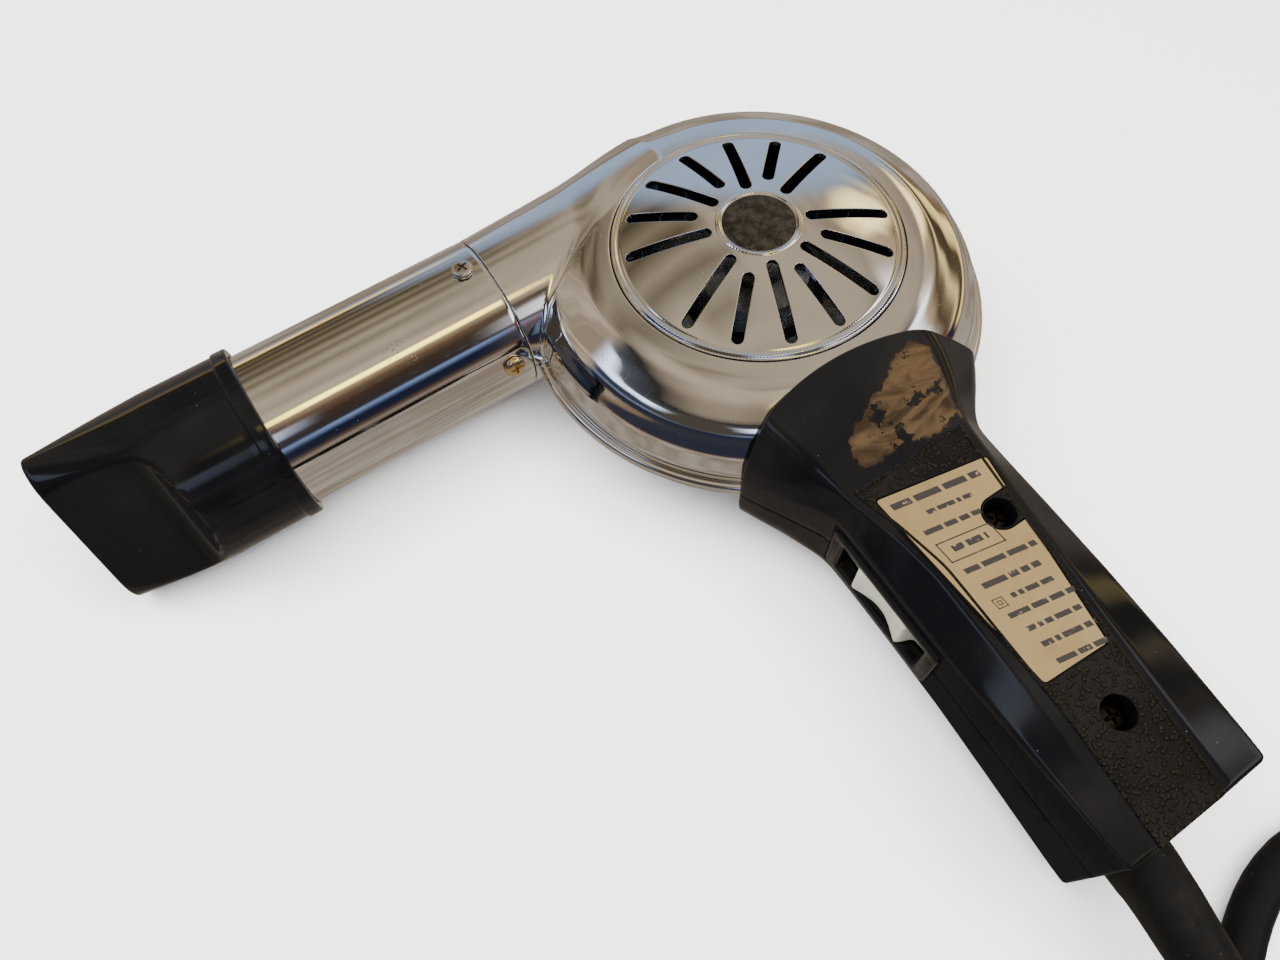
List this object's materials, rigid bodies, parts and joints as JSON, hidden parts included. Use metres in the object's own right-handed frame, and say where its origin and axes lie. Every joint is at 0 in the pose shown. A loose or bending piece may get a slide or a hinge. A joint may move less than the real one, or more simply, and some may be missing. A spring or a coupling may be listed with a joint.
{
  "type": "hair dryer",
  "caption": "Chromed metal hair dryer with a round fan housing, side barrel and flat nozzle, black handle with a slide switch, and a mains cord ending in a coil and plug.",
  "frame": {"origin": "on the fan's axis, in the plane of the rear cover's flat face, on which the dryer lies", "axes": "+Z out of the air inlet along the fan's axis, -X along the barrel towards the nozzle, -Y down the handle"},
  "size_m": [0.2576, 0.3625, 0.0494],
  "materials": {
    "chrome": "bright chrome plating on steel sheet, lightly pitted",
    "badge": "worn, speckled disc",
    "bakelite": "black bakelite, polished, pebbled on the panels",
    "rubber": "black rubber, dusty",
    "brass": "brass, aged",
    "steel": "nickel-plated steel",
    "zinc": "zinc-plated sheet",
    "bronze": "sintered bronze",
    "copper": "enamelled copper",
    "lamination": "laminated electrical steel",
    "aluminium": "pressed aluminium",
    "mica": "mica board",
    "resistance": "resistance wire",
    "cream": "cream plastic",
    "phenolic": "brown phenolic board",
    "tie": "black plastic tie"
  },
  "bodies": {
    "dryer": {"front_shell": "chrome", "rear_shell": "chrome", "inlet_grille": "chrome", "grille_badge": "badge", "rear_cover": "chrome", "cover_screw_1": "steel", "cover_screw_2": "steel", "cover_screw_3": "steel", "barrel_tube": "chrome", "barrel_spigot": "zinc", "barrel_screw_top": "steel", "barrel_screw_side": "steel", "mica_liner": "mica", "heater_former": "mica", "heater_wire": "resistance", "outlet_guard": "zinc", "stator_core": "lamination", "motor_bolt_1": "steel", "motor_bolt_2": "steel", "motor_nut_1": "steel", "motor_nut_2": "steel", "field_coil_1": "copper", "field_coil_2": "copper", "shading_ring_1": "copper", "shading_ring_2": "copper", "rear_bracket": "zinc", "front_bracket": "zinc", "rear_bearing": "bronze", "front_bearing": "bronze", "handle_front": "bakelite", "handle_rear": "bakelite", "rating_plate": "brass", "handle_screw_1": "steel", "handle_screw_2": "steel", "handle_nut_1": "brass", "handle_nut_2": "brass", "switch_bezel": "bakelite", "switch_body": "phenolic", "switch_terminal_1": "brass", "switch_terminal_2": "brass", "cord_sleeve": "rubber", "inner_cable": "rubber", "cord_clamp": "phenolic", "supply_lead_1": "rubber", "supply_lead_2": "rubber", "motor_lead": "rubber", "heater_lead": "rubber", "power_cord": "rubber", "cord_coil": "rubber", "cord_tie": "tie", "cord_tail": "rubber", "plug_body": "rubber", "plug_pin_1": "brass", "plug_pin_2": "brass"},
    "fan": {"impeller": "aluminium", "impeller_nut": "brass", "motor_shaft": "steel", "rotor_core": "lamination"},
    "nozzle": {"nozzle": "bakelite"},
    "switch_slider": {"switch_slider": "cream"}
  },
  "joints": [
    {"name": "fan_spin", "type": "hinge", "parent": "dryer", "child": "fan", "pos_m": [0, 0, 0.0231], "axis": [0, 0, 1], "continuous": true},
    {"name": "nozzle_turn", "type": "hinge", "parent": "dryer", "child": "nozzle", "pos_m": [-0.14, 0.03225, 0.0231], "axis": [1, 0, 0], "continuous": true},
    {"name": "switch_slide", "type": "slide", "parent": "dryer", "child": "switch_slider", "axis": [-0.0366, -0.9993, 0], "range_m": [-0.004, 0.004]}
  ]
}
